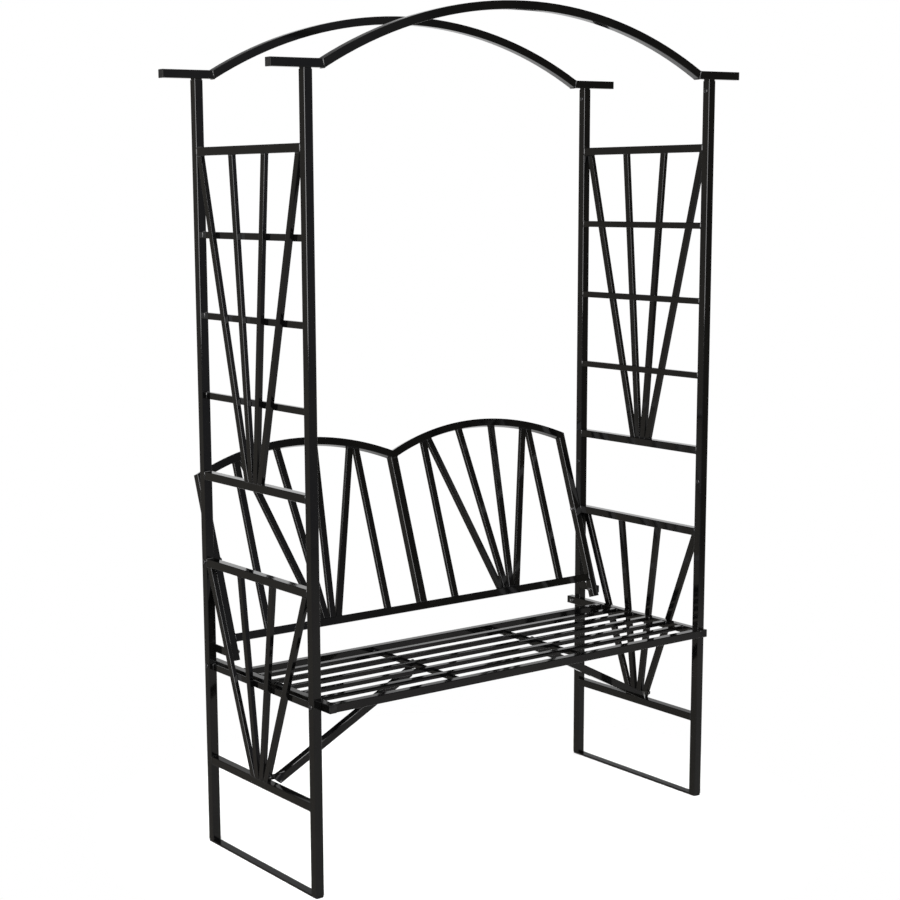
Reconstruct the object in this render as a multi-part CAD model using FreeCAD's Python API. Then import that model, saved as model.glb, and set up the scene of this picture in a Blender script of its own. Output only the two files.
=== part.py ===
import FreeCAD
import Part
import math
import os

# Arbour seat of welded square steel tube: two side frames in a lower and an upper section,
# a front and a rear arch, a slatted seat, a leaning back with two humps, and two seat braces.
# Millimetres. X runs along the seat, Y from front to rear, Z up, with the floor at Z = 0.
# Every piece is drawn about the middle of the four posts and then moved along Y by
# frame_shift(), so that the origin is the middle of the whole footprint.

Vector = FreeCAD.Vector
X_AXIS = Vector(1, 0, 0)
Y_AXIS = Vector(0, 1, 0)
Z_AXIS = Vector(0, 0, 1)

# Tube sections
POST_TUBE = 22.0
TUBE = 20.0
TUBE_CORNER = 1.0
SLIM_WIDE = 16.0
FAN_WIDE = 17.5
SLIM_CORNER = 0.7
WALL = 1.0

# Side frames
POST_SPACING_X = 1220.0
POST_SPACING_Y = 465.0
FOOT_THICK = 5.0
FOOT_CORNER = 3.0
LOW_BAR_Z = 215.5
SEAT_RUNG_Z = 453.5
ARM_BAR_Z = 718.5
SEAM_Z = 825.5
SILL_BAR_Z = 934.5
FIRST_RUNG_Z = 1130.0
RUNG_PITCH = 192.0
RUNG_COUNT = 3
TOP_BAR_Z = 1709.0
POST_TOP_Z = 1875.0
FAN_COUNT = 4
FAN_FOOT_GAP = 1.2
FAN_TOP_CLEAR = 1.8

# Arches
SPIGOT_SHOWS = 3.0
MITRE_INSET = 42.0
ARCH_RISE = 145.5
EAR_REACH = 95.5

# Sleeves, spigots and plastic caps
SLIP = 0.2
SLEEVE_WALL = 1.2
SLEEVE_HALF_LENGTH = 50.0
SPIGOT_LENGTH = 60.0
CAP_THICK = 2.0
CAP_PLUG_LENGTH = 12.0

# Seat
SEAT_RAIL_Z = 456.5
SEAT_FRONT_Y = -276.0
SEAT_REAR_Y = 251.5
REAR_RAIL_Y = 117.0
SLAT_COUNT = 5
CROSS_BAR_X = 194.0

# Back, leaning to the rear about its bottom rail
BACK_RAIL_Y = 168.5
BACK_RAIL_Z = 533.5
BACK_TILT = 19.0
STILE_BELOW_RAIL = 55.5
HUMP_END_RISE = 407.5
HUMP_APEX_RISE = 468.5
UPRIGHT_INSET = 111.0
BACK_FAN_FOOT_GAP = 1.0
BACK_FAN_TOP_CLEAR = 1.5
BRACKET_THICK = 3.0
BRACKET_HIGH = 20.0
BRACKET_Z = 501.0
BRACKET_PAST_STILE = 2.5

# Braces from the lower fans up to the seat's cross bars
BRACE_Y = -47.0
BRACE_SLOPE = 27.1
BRACE_TAB_THICK = 3.0
BRACE_TAB_WIDE = 15.0
BRACE_TAB_CORNER = 5.0
BRACE_TAB_EDGE = 0.5
BRACE_TAB_Z = 244.0
BRACE_TAB_LENGTH = 17.0
BRACE_PRESS_TOP = 30.0
BRACE_PRESS_BOTTOM = 17.0

# Fasteners
HEAD_RADIUS = 6.0
HEAD_HIGH = 3.2
TAB_SCREW_HEAD_RADIUS = 4.5
HEAD_TAPER = 1.5
NUT_ACROSS_FLATS = 10.0
NUT_HIGH = 5.0
TAB_CLEARANCE = 0.3
SEAM_SCREW_RISE = 28.0
EAR_SCREW_DROP = 25.0

# Worked-out places
POST_X = POST_SPACING_X / 2
POST_Y = POST_SPACING_Y / 2
HALF_POST = POST_TUBE / 2
HALF_TUBE = TUBE / 2
SIDE_BAR_THICK = HALF_POST
SLAT_THICK = HALF_TUBE
INNER_FACE_X = POST_X - HALF_POST
EAR_Z = POST_TOP_Z + SPIGOT_SHOWS + HALF_TUBE
SEAT_SIDE_X = INNER_FACE_X - HALF_TUBE
SEAT_HALF_WIDTH = SEAT_SIDE_X - HALF_TUBE
SEAT_TOP_Z = SEAT_RAIL_Z + HALF_TUBE
SEAT_UNDERSIDE_Z = SEAT_RAIL_Z - HALF_TUBE
SLAT_Z = SEAT_TOP_Z - SLAT_THICK / 2
CROSS_BAR_Z = SEAT_UNDERSIDE_Z + SLAT_THICK / 2
FRONT_RAIL_Y = SEAT_FRONT_Y + CAP_THICK + HALF_TUBE
REACH = 4000.0

# Sections as width, height and the flat across each corner, measured along the sides
POST_SECTION = (POST_TUBE, POST_TUBE, TUBE_CORNER)
BAR_SECTION = (POST_TUBE, TUBE, TUBE_CORNER)
SQUARE_SECTION = (TUBE, TUBE, TUBE_CORNER)
RUNG_SECTION = (SIDE_BAR_THICK, SLIM_WIDE, SLIM_CORNER)
FAN_SECTION = (SIDE_BAR_THICK, FAN_WIDE, SLIM_CORNER)
SLAT_SECTION = (SLIM_WIDE, SLAT_THICK, SLIM_CORNER)


def outline(wide, high, corner):
    """Corner points, in the XY plane about the origin, of a rectangle with its corners cut back."""
    x, y = wide / 2, high / 2
    if corner == 0:
        return [Vector(x, y, 0), Vector(-x, y, 0), Vector(-x, -y, 0), Vector(x, -y, 0)]
    short_x, short_y = x - corner, y - corner
    return [
        Vector(x, short_y, 0), Vector(short_x, y, 0), Vector(-short_x, y, 0), Vector(-x, short_y, 0),
        Vector(-x, -short_y, 0), Vector(-short_x, -y, 0), Vector(short_x, -y, 0), Vector(x, -short_y, 0),
    ]


def closed_wire(points):
    """Closed polygon through the points."""
    return Part.makePolygon(points + points[:1])


def filled(wide, high, corner):
    """Face of a rectangle with its corners cut back."""
    return Part.Face(closed_wire(outline(wide, high, corner)))


def section_face(section, wall):
    """Face of a hollow box section."""
    wide, high, corner = section
    return filled(wide, high, corner).cut(filled(wide - 2 * wall, high - 2 * wall, 0)).Faces[0]


def lay(origin, along, across):
    """Placement that turns local Z along one direction and local X across it."""
    return FreeCAD.Placement(origin, FreeCAD.Rotation(across, along.cross(across), along, "ZXY"))


def tube_between(start, end, across, section, wall=WALL):
    """Hollow box section between two points; across is the direction of its width."""
    along = end - start
    length = along.Length
    solid = section_face(section, wall).extrude(Vector(0, 0, length))
    solid.Placement = lay(start, along.normalize(), across)
    return solid


def half_space(point, normal):
    """Large block on the side of the point that the normal leads to."""
    block = Part.makeBox(REACH, REACH, REACH, Vector(-REACH / 2, -REACH / 2, 0))
    block.Placement = FreeCAD.Placement(point, FreeCAD.Rotation(Z_AXIS, normal))
    return block


def slab(low, high):
    """Large block between two heights."""
    return Part.makeBox(REACH, REACH, high - low, Vector(-REACH / 2, -REACH / 2, low))


def mirrored(shape):
    """The same piece on the other side of the seat."""
    return shape.mirror(Vector(0, 0, 0), X_AXIS)


def both_sides(shapes):
    """Left pieces and their right twins in one list."""
    return shapes + [mirrored(shape) for shape in shapes]


def bolt_head(point, outwards, radius=HEAD_RADIUS):
    """Low round head that stands on the point."""
    return Part.makeCone(radius, radius - HEAD_TAPER, HEAD_HIGH, point, outwards)


def hex_nut(point, outwards):
    """Hexagon nut that stands on the point."""
    radius = NUT_ACROSS_FLATS / 2 / math.cos(math.pi / 6)
    corners = []
    for step in range(6):
        angle = step * math.pi / 3
        corners.append(Vector(radius * math.cos(angle), radius * math.sin(angle), 0))
    nut = Part.Face(closed_wire(corners)).extrude(Vector(0, 0, NUT_HIGH))
    nut.Placement = FreeCAD.Placement(point, FreeCAD.Rotation(Z_AXIS, outwards))
    return nut


def through_bolt(point, direction, grip):
    """Head and nut on the two sides of a grip that starts at the point."""
    return bolt_head(point, -direction), hex_nut(point + direction * grip, direction)


def end_cap(point, outwards, across, section=SQUARE_SECTION):
    """Plastic cap: a flange over the tube's end and a plug inside it."""
    wide, high = (side - 2 * WALL - 2 * SLIP for side in section[:2])
    plug = Part.makeBox(wide, high, CAP_PLUG_LENGTH, Vector(-wide / 2, -high / 2, -CAP_PLUG_LENGTH))
    cap = filled(*section).extrude(Vector(0, 0, CAP_THICK)).fuse(plug)
    cap.Placement = lay(point, outwards, across)
    return cap


def side_bar(z, section, offset_x=0.0):
    """Left bar from post to post; a positive offset moves it inwards."""
    x = -POST_X + offset_x
    start = Vector(x, -POST_Y + HALF_POST, z)
    end = Vector(x, POST_Y - HALF_POST, z)
    return tube_between(start, end, X_AXIS, section)


def fan_spread(gap):
    """Distance from a fan's middle to its outermost bar's, with a gap between neighbours."""
    return (FAN_COUNT - 1) / 2 * (FAN_WIDE + gap)


def fan_y(step, low, high, z):
    """Centre of one fan bar across the frame at a height."""
    share = (z - low) / (high - low)
    foot_spread = fan_spread(FAN_FOOT_GAP)
    top_spread = POST_Y - HALF_POST - FAN_TOP_CLEAR - FAN_WIDE / 2
    return (1 - 2 * step / (FAN_COUNT - 1)) * (foot_spread + share * (top_spread - foot_spread))


def side_fan(low, high):
    """Left bars that fan out from one bar's top face to the next bar's underside."""
    x = -POST_X - SIDE_BAR_THICK / 2
    bars = []
    for step in range(FAN_COUNT):
        ends = [Vector(x, fan_y(step, low, high, z), z) for z in (low - FAN_WIDE, high + FAN_WIDE)]
        bars.append(tube_between(ends[0], ends[1], X_AXIS, FAN_SECTION).common(slab(low, high)))
    return bars


def lower_fan_limits():
    """Heights of the faces that the lower fan stands between."""
    return LOW_BAR_Z + HALF_TUBE, ARM_BAR_Z - HALF_TUBE


def foot_strip():
    """Flat strip under both posts of the left frame."""
    strip = filled(POST_TUBE, POST_SPACING_Y + POST_TUBE, FOOT_CORNER).extrude(Vector(0, 0, FOOT_THICK))
    strip.translate(Vector(-POST_X, 0, 0))
    return strip


def left_post(y, low, high):
    """One section of a left post between two heights."""
    return tube_between(Vector(-POST_X, y, low), Vector(-POST_X, y, high), X_AXIS, POST_SECTION)


def back_bolt_height():
    """Height where the stile's centre line crosses the rear post's."""
    return BACK_RAIL_Z + (POST_Y - BACK_RAIL_Y) / math.tan(math.radians(BACK_TILT))


def screw_heights():
    """Heights of the short screws just above the seam and just below the post's top."""
    return SEAM_Z + SEAM_SCREW_RISE, POST_TOP_Z - EAR_SCREW_DROP


def inner_tube(y, low, high):
    """Tube that slips inside a left post."""
    size = POST_TUBE - 2 * WALL - 2 * SLIP
    start, end = Vector(-POST_X, y, low), Vector(-POST_X, y, high)
    return tube_between(start, end, X_AXIS, (size, size, SLIM_CORNER), SLEEVE_WALL)


def left_frame_parts():
    """Pieces of the left side frame by name."""
    low, high = lower_fan_limits()
    rungs = [FIRST_RUNG_Z + step * RUNG_PITCH for step in range(RUNG_COUNT)]
    inwards = SIDE_BAR_THICK / 2
    return {
        "foot_strip": [foot_strip()],
        "lower_front_post": [left_post(-POST_Y, FOOT_THICK, SEAM_Z)],
        "lower_rear_post": [left_post(POST_Y, FOOT_THICK, SEAM_Z)],
        "low_bar": [side_bar(LOW_BAR_Z, BAR_SECTION)],
        "seat_level_rung": [side_bar(SEAT_RUNG_Z, RUNG_SECTION, inwards)],
        "arm_bar": [side_bar(ARM_BAR_Z, BAR_SECTION)],
        "lower_fan_bars": side_fan(low, high),
        "upper_front_post": [left_post(-POST_Y, SEAM_Z, POST_TOP_Z)],
        "upper_rear_post": [left_post(POST_Y, SEAM_Z, POST_TOP_Z)],
        "sill_bar": [side_bar(SILL_BAR_Z, BAR_SECTION)],
        "side_rungs": [side_bar(z, RUNG_SECTION, inwards) for z in rungs],
        "top_bar": [side_bar(TOP_BAR_Z, BAR_SECTION)],
        "upper_fan_bars": side_fan(SILL_BAR_Z + HALF_TUBE, TOP_BAR_Z - HALF_TUBE),
    }


def arch_radius():
    """Radius of the arch's centre line and half of its angle, in degrees."""
    half_chord = POST_X - MITRE_INSET
    radius = (half_chord ** 2 + ARCH_RISE ** 2) / (2 * ARCH_RISE)
    return radius, math.degrees(math.asin(half_chord / radius))


def arch_mitre():
    """Point and outward normal of the left mitre between ear and bow."""
    half_angle = math.radians(arch_radius()[1] / 2)
    return Vector(-POST_X + MITRE_INSET, 0, EAR_Z), Vector(-math.cos(half_angle), 0, -math.sin(half_angle))


def arc_tube(section, centre, radius, half_angle):
    """Box section bent about a Y line through the centre, half the angle to each side of the top."""
    face = section_face(section, WALL)
    face.Placement = lay(centre + Vector(0, 0, radius), X_AXIS, Y_AXIS)
    face.rotate(centre, Y_AXIS, -half_angle)
    return face.revolve(centre, Y_AXIS, 2 * half_angle)


def arch_bow(y):
    """Bent tube of one arch, mitred at both ends."""
    radius, half_angle = arch_radius()
    past_mitre = math.degrees(TUBE / radius)
    bow = arc_tube(BAR_SECTION, Vector(0, 0, EAR_Z + ARCH_RISE - radius), radius, half_angle + past_mitre)
    point, normal = arch_mitre()
    cutter = half_space(point, normal)
    bow = bow.cut(cutter).cut(mirrored(cutter))
    bow.translate(Vector(0, y, 0))
    return bow


def arch_ear(y):
    """Left level ear of one arch, mitred at its inner end."""
    outer_end = Vector(-POST_X - EAR_REACH + CAP_THICK, 0, EAR_Z)
    point, normal = arch_mitre()
    ear = tube_between(outer_end, point + X_AXIS * TUBE, Y_AXIS, BAR_SECTION)
    ear = ear.cut(half_space(point, -normal))
    ear.translate(Vector(0, y, 0))
    return ear


def ear_cap(y):
    """Cap in the free end of a left ear."""
    return end_cap(Vector(-POST_X - EAR_REACH + CAP_THICK, y, EAR_Z), -X_AXIS, Y_AXIS, BAR_SECTION)


def arch_parts():
    """Pieces of both arches and of the joints inside the posts."""
    rows = (-POST_Y, POST_Y)
    spigots = [inner_tube(y, POST_TOP_Z - SPIGOT_LENGTH, EAR_Z - HALF_TUBE) for y in rows]
    sleeves = [inner_tube(y, SEAM_Z - SLEEVE_HALF_LENGTH, SEAM_Z + SLEEVE_HALF_LENGTH) for y in rows]
    return {
        "front_arch_bow": [arch_bow(-POST_Y)],
        "rear_arch_bow": [arch_bow(POST_Y)],
        "front_arch_ears": both_sides([arch_ear(-POST_Y)]),
        "rear_arch_ears": both_sides([arch_ear(POST_Y)]),
        "ear_spigots": both_sides(spigots),
        "post_sleeves": both_sides(sleeves),
        "ear_caps": both_sides([ear_cap(y) for y in rows]),
    }


def seat_side_rail():
    """Left rail of the seat, against both posts."""
    start = Vector(-SEAT_SIDE_X, SEAT_FRONT_Y + CAP_THICK, SEAT_RAIL_Z)
    end = Vector(-SEAT_SIDE_X, SEAT_REAR_Y - CAP_THICK, SEAT_RAIL_Z)
    return tube_between(start, end, X_AXIS, SQUARE_SECTION)


def seat_long_bar(y, z, section):
    """Bar along the seat between its side rails."""
    start, end = Vector(-SEAT_HALF_WIDTH, y, z), Vector(SEAT_HALF_WIDTH, y, z)
    return tube_between(start, end, Y_AXIS, section)


def seat_slats():
    """Slats at even steps between the rear rail and the front rail, level with their tops."""
    pitch = (REAR_RAIL_Y - FRONT_RAIL_Y) / (SLAT_COUNT + 1)
    centres = [REAR_RAIL_Y - pitch * (step + 1) for step in range(SLAT_COUNT)]
    return [seat_long_bar(y, SLAT_Z, SLAT_SECTION) for y in centres]


def seat_cross_bar():
    """Left bar under the slats, from the front rail to the rear rail."""
    start = Vector(-CROSS_BAR_X, FRONT_RAIL_Y + HALF_TUBE, CROSS_BAR_Z)
    end = Vector(-CROSS_BAR_X, REAR_RAIL_Y - HALF_TUBE, CROSS_BAR_Z)
    return tube_between(start, end, X_AXIS, SLAT_SECTION)


def seat_caps():
    """Caps in both ends of the left side rail."""
    front = end_cap(Vector(-SEAT_SIDE_X, SEAT_FRONT_Y + CAP_THICK, SEAT_RAIL_Z), -Y_AXIS, X_AXIS)
    rear = end_cap(Vector(-SEAT_SIDE_X, SEAT_REAR_Y - CAP_THICK, SEAT_RAIL_Z), Y_AXIS, X_AXIS)
    return [front, rear]


def seat_parts():
    """Pieces of the seat by name."""
    rail = seat_side_rail()
    return {
        "left_seat_side_rail": [rail],
        "right_seat_side_rail": [mirrored(rail)],
        "seat_front_rail": [seat_long_bar(FRONT_RAIL_Y, SEAT_RAIL_Z, SQUARE_SECTION)],
        "seat_rear_rail": [seat_long_bar(REAR_RAIL_Y, SEAT_RAIL_Z, SQUARE_SECTION)],
        "seat_slats": seat_slats(),
        "seat_cross_bars": both_sides([seat_cross_bar()]),
        "seat_rail_caps": both_sides(seat_caps()),
    }


def leaned(shape):
    """Take a piece of the back from its own upright plane to its leaning place."""
    lean = FreeCAD.Placement(Vector(0, BACK_RAIL_Y, BACK_RAIL_Z), FreeCAD.Rotation(X_AXIS, -BACK_TILT))
    shape.Placement = lean.multiply(shape.Placement)
    return shape


def hump_arc():
    """Centre, radius and half angle in degrees of the left hump's centre line."""
    half_chord = SEAT_SIDE_X / 2
    rise = HUMP_APEX_RISE - HUMP_END_RISE
    radius = (half_chord ** 2 + rise ** 2) / (2 * rise)
    half_angle = math.degrees(math.asin(half_chord / radius))
    return Vector(-half_chord, 0, HUMP_APEX_RISE - radius), radius, half_angle


def hump_height(x, radial_offset):
    """Height above the bottom rail of a curve that runs a given distance outside the hump's centre line."""
    centre, radius, _ = hump_arc()
    return centre.z + math.sqrt((radius + radial_offset) ** 2 - (x - centre.x) ** 2)


def stile_mitre():
    """Point and normal of the left corner cut; the normal leads to the stile's side."""
    outer = Vector(-INNER_FACE_X, 0, hump_height(-INNER_FACE_X, HALF_TUBE))
    inner = Vector(-SEAT_HALF_WIDTH, 0, hump_height(-SEAT_HALF_WIDTH, -HALF_TUBE))
    along = (inner - outer).normalize()
    return outer, Vector(along.z, 0, -along.x)


def back_hump():
    """Left bent top rail of the back, mitred to the stile and cut at the middle."""
    centre, radius, half_angle = hump_arc()
    hump = arc_tube(SQUARE_SECTION, centre, radius, half_angle + math.degrees(TUBE / radius))
    point, normal = stile_mitre()
    hump = hump.cut(half_space(point, normal))
    return hump.cut(half_space(Vector(0, 0, 0), X_AXIS))


def back_stile():
    """Left stile, mitred at the top."""
    x = -SEAT_SIDE_X
    top = hump_height(-INNER_FACE_X, HALF_TUBE)
    bottom = CAP_THICK - STILE_BELOW_RAIL
    stile = tube_between(Vector(x, 0, bottom), Vector(x, 0, top), X_AXIS, SQUARE_SECTION)
    point, normal = stile_mitre()
    return leaned(stile.cut(half_space(point, -normal)))


def stile_cap():
    """Cap in the left stile's lower end."""
    return leaned(end_cap(Vector(-SEAT_SIDE_X, 0, CAP_THICK - STILE_BELOW_RAIL), -Z_AXIS, X_AXIS))


def stile_y(z):
    """Y of the stile's centre line at a height."""
    return BACK_RAIL_Y + (z - BACK_RAIL_Z) * math.tan(math.radians(BACK_TILT))


def room_under_humps():
    """Block that ends at the undersides of both humps, above the bottom rail's top face."""
    centre, radius, _ = hump_arc()
    disc = Part.makeCylinder(radius - HALF_TUBE, REACH, centre - Y_AXIS * REACH / 2, Y_AXIS)
    left = disc.common(slab(HALF_TUBE, HUMP_APEX_RISE)).cut(half_space(Vector(0, 0, 0), X_AXIS))
    return left.fuse(mirrored(left))


def back_bar(foot_x, slope, section, room):
    """Bar from the bottom rail up to the hump above it; slope is sideways per unit of height."""
    start = Vector(foot_x - slope * TUBE, 0, -TUBE)
    end = Vector(foot_x + slope * HUMP_APEX_RISE, 0, HUMP_APEX_RISE)
    return leaned(tube_between(start, end, Y_AXIS, section).common(room))


def back_fan_slope():
    """Sideways slope of the outermost fan bars, which pass close by the uprights' tops."""
    upright_face = UPRIGHT_INSET + FAN_WIDE / 2
    top = hump_height(-upright_face, -HALF_TUBE)
    top_spread = SEAT_SIDE_X / 2 - upright_face - BACK_FAN_TOP_CLEAR - FAN_WIDE / 2
    return (top_spread - fan_spread(BACK_FAN_FOOT_GAP)) / (top - HALF_TUBE)


def back_fan(room):
    """Left bars that fan out under the hump's apex."""
    slope = back_fan_slope()
    foot_spread = fan_spread(BACK_FAN_FOOT_GAP) - slope * HALF_TUBE
    bars = []
    for step in range(FAN_COUNT):
        share = 1 - 2 * step / (FAN_COUNT - 1)
        bars.append(back_bar(-SEAT_SIDE_X / 2 + share * foot_spread, share * slope, FAN_SECTION, room))
    return bars


def back_bottom_rail():
    """Rail between the stiles."""
    start, end = Vector(-SEAT_HALF_WIDTH, 0, 0), Vector(SEAT_HALF_WIDTH, 0, 0)
    return leaned(tube_between(start, end, Y_AXIS, SQUARE_SECTION))


def back_bracket():
    """Left flat bracket from the rear post's front face to just past the stile's."""
    half_depth = HALF_TUBE / math.cos(math.radians(BACK_TILT))
    front = stile_y(BRACKET_Z) - half_depth - BRACKET_PAST_STILE
    corner = Vector(-INNER_FACE_X - BRACKET_THICK, front, BRACKET_Z - BRACKET_HIGH / 2)
    return Part.makeBox(BRACKET_THICK, POST_Y - HALF_POST - front, BRACKET_HIGH, corner)


def back_parts():
    """Pieces of the back by name."""
    room = room_under_humps()
    uprights = [back_bar(-x, 0.0, FAN_SECTION, room) for x in (UPRIGHT_INSET, SEAT_SIDE_X - UPRIGHT_INSET)]
    fan = back_fan(room)
    hump = leaned(back_hump())
    stile = back_stile()
    return {
        "left_back_stile": [stile],
        "right_back_stile": [mirrored(stile)],
        "back_centre_post": [back_bar(0.0, 0.0, POST_SECTION, room)],
        "back_bottom_rail": [back_bottom_rail()],
        "left_back_hump": [hump],
        "right_back_hump": [mirrored(hump)],
        "left_back_fan_bars": fan,
        "right_back_fan_bars": [mirrored(bar) for bar in fan],
        "back_uprights": both_sides(uprights),
        "back_stile_caps": both_sides([stile_cap()]),
        "back_brackets": both_sides([back_bracket()]),
    }


def fan_face_frame():
    """Point on the front face of the left lower fan's front bar, and the face's outward normal."""
    low, high = lower_fan_limits()
    step = FAN_COUNT - 1
    foot = Vector(-POST_X - SIDE_BAR_THICK / 2, fan_y(step, low, high, low), low)
    top = Vector(foot.x, fan_y(step, low, high, high), high)
    along = (top - foot).normalize()
    normal = X_AXIS.cross(along)
    centre = foot + along * ((BRACE_TAB_Z - low) / along.z)
    return centre + normal * (FAN_WIDE / 2), normal


def brace_top_x():
    """X of the left brace's cut upper end, just outside the cross bar."""
    return -CROSS_BAR_X - SLIM_WIDE / 2 - TAB_CLEARANCE


def brace_direction():
    """Direction of the left brace, up and towards the middle of the seat."""
    slope = math.radians(BRACE_SLOPE)
    return Vector(math.cos(slope), 0, math.sin(slope))


def brace_axis(x, above=0.0):
    """Point over or under the left brace's centre line, whose upper end meets the seat's underside."""
    along = brace_direction()
    top_z = SEAT_UNDERSIDE_Z - HALF_TUBE / along.x
    return Vector(x, BRACE_Y, top_z + (x - brace_top_x()) * along.z / along.x + above / along.x)


def press_line():
    """Point and outward normal of the slanting plane where the left brace starts to flatten."""
    top = brace_axis(-POST_X + BRACE_PRESS_TOP, HALF_TUBE)
    bottom = brace_axis(-POST_X + BRACE_PRESS_BOTTOM, -HALF_TUBE)
    edge = (top - bottom).normalize()
    return bottom, Vector(-edge.z, 0, edge.x)


def slid_onto(points, along, point, normal):
    """Slide points along one direction until they lie in a plane."""
    return [p - along * ((p - point).dot(normal) / along.dot(normal)) for p in points]


def tab_middle():
    """Centre of the lower tab's section where the flattening ends."""
    point, normal = fan_face_frame()
    middle = point + normal * (BRACE_TAB_THICK / 2)
    middle.x = -POST_X - SIDE_BAR_THICK + BRACE_TAB_LENGTH
    return middle


def pressed_shell(square_size, flat_size):
    """Ruled solid from a square outline in the brace to a flat outline at the tab."""
    along = brace_direction()
    square_place = lay(brace_axis(-POST_X), along, Y_AXIS)
    flat_place = lay(tab_middle(), X_AXIS, -fan_face_frame()[1])
    square = slid_onto([square_place.multVec(p) for p in outline(*square_size)], along, *press_line())
    flat = [flat_place.multVec(p) for p in outline(*flat_size)]
    return Part.makeLoft([closed_wire(square), closed_wire(flat)], True, True)


def pressed_end():
    """Lower end of the left brace, pressed from the square tube down to the flat tab."""
    outer = pressed_shell(SQUARE_SECTION, (BRACE_TAB_THICK, BRACE_TAB_WIDE, BRACE_TAB_EDGE))
    thin = 2 * WALL
    inner = pressed_shell((TUBE - thin, TUBE - thin, 0), (BRACE_TAB_THICK - thin, BRACE_TAB_WIDE - thin, 0))
    return outer.cut(inner)


def lower_tab():
    """Flat tab with its corners cut back that lies on the front face of the fan's front bar."""
    point, normal = fan_face_frame()
    section = filled(BRACE_TAB_THICK, BRACE_TAB_WIDE, BRACE_TAB_EDGE)
    section.Placement = lay(tab_middle(), X_AXIS, -normal)
    rounded = filled(2 * BRACE_TAB_LENGTH, BRACE_TAB_WIDE, BRACE_TAB_CORNER)
    rounded = rounded.extrude(Vector(0, 0, BRACE_TAB_THICK))
    rounded.Placement = lay(Vector(tab_middle().x, point.y, point.z), normal, X_AXIS)
    return section.extrude(-X_AXIS * BRACE_TAB_LENGTH).common(rounded)


def upper_tab():
    """Flat tab under the left cross bar."""
    outer = brace_top_x() - BRACE_TAB_THICK
    inner = -CROSS_BAR_X + SLIM_WIDE / 2 + TAB_CLEARANCE
    corner = Vector(outer, BRACE_Y - HALF_TUBE, SEAT_UNDERSIDE_Z - BRACE_TAB_THICK)
    return Part.makeBox(inner - outer, TUBE, BRACE_TAB_THICK, corner)


def brace():
    """Left brace: square tube, pressed lower end and a tab at each end."""
    body = tube_between(brace_axis(-POST_X), brace_axis(0.0), Y_AXIS, SQUARE_SECTION)
    body = body.cut(half_space(Vector(brace_top_x(), 0, 0), X_AXIS)).cut(half_space(*press_line()))
    return body.fuse(pressed_end()).fuse(lower_tab()).fuse(upper_tab()).removeSplitter()


def post_screw_heads():
    """Heads on the left posts' inner faces, above the seam and below the posts' tops."""
    heads = []
    for y in (-POST_Y, POST_Y):
        for height in screw_heights():
            heads.append(bolt_head(Vector(-INNER_FACE_X, y, height), X_AXIS))
    return heads


def seat_bolts():
    """Heads and nuts of the bolts through the left posts and the seat's side rail."""
    outside, grip = -POST_X - HALF_POST, POST_TUBE + TUBE
    pairs = [through_bolt(Vector(outside, y, SEAT_RAIL_Z), X_AXIS, grip) for y in (-POST_Y, POST_Y)]
    return [pair[0] for pair in pairs], [pair[1] for pair in pairs]


def back_bolts():
    """Heads and nuts of the left stile's bolts: one through the post, one through the bracket."""
    outside = Vector(-POST_X - HALF_POST, POST_Y, back_bolt_height())
    upper = through_bolt(outside, X_AXIS, POST_TUBE + TUBE)
    face = Vector(-INNER_FACE_X - BRACKET_THICK, stile_y(BRACKET_Z), BRACKET_Z)
    lower = through_bolt(face, X_AXIS, BRACKET_THICK + TUBE)
    return [upper[0], lower[0]], [upper[1], lower[1]]


def brace_bolts():
    """Head of the screw in the left fan bar, and head and nut of the bolt in the left cross bar."""
    point, normal = fan_face_frame()
    lower = bolt_head(point + normal * BRACE_TAB_THICK, normal, TAB_SCREW_HEAD_RADIUS)
    under = Vector(-CROSS_BAR_X, BRACE_Y, SEAT_UNDERSIDE_Z - BRACE_TAB_THICK)
    upper = through_bolt(under, Z_AXIS, BRACE_TAB_THICK + SLAT_THICK)
    return [lower, upper[0]], [upper[1]]


def fastener_parts():
    """Groups of like fasteners by name."""
    seat, seat_nuts = seat_bolts()
    back, back_nuts = back_bolts()
    braces, brace_nuts = brace_bolts()
    return {
        "post_screws": both_sides(post_screw_heads()),
        "seat_bolts": both_sides(seat),
        "back_bolts": both_sides(back),
        "brace_bolts": both_sides(braces),
        "hex_nuts": both_sides(seat_nuts + back_nuts + brace_nuts),
    }


def frame_shift():
    """Move along Y that puts the origin midway between the seat's front and the back's top edge."""
    lean = math.radians(BACK_TILT)
    up = HUMP_APEX_RISE + HALF_TUBE - TUBE_CORNER
    rear = BACK_RAIL_Y + up * math.sin(lean) + HALF_TUBE * math.cos(lean)
    return Vector(0, -(rear + SEAT_FRONT_Y) / 2, 0)


def all_parts():
    """Every node's solids by name."""
    parts = {}
    for name, shapes in left_frame_parts().items():
        parts["left_" + name] = shapes
        parts["right_" + name] = [mirrored(shape) for shape in shapes]
    left_brace = brace()
    parts["left_brace"] = [left_brace]
    parts["right_brace"] = [mirrored(left_brace)]
    for group in (arch_parts(), seat_parts(), back_parts(), fastener_parts()):
        parts.update(group)
    return parts


def main():
    """Write one STEP file per node."""
    os.makedirs("parts", exist_ok=True)
    for name, shapes in all_parts().items():
        solids = [solid for shape in shapes for solid in shape.Solids]
        node = solids[0] if len(solids) == 1 else Part.makeCompound(solids)
        node.translate(frame_shift())
        node.exportStep("parts/" + name + ".step")
        print(name, len(solids), "solid(s)", "valid" if node.isValid() else "NOT VALID", round(node.Volume))


main()
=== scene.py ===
"""An arbour seat of gloss black powder-coated steel tube, dressed for a studio picture."""
import logging
import math
from dataclasses import dataclass
from enum import Enum
from typing import Iterable, Union

import bmesh
import bpy
from mathutils import Matrix, Vector


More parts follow.
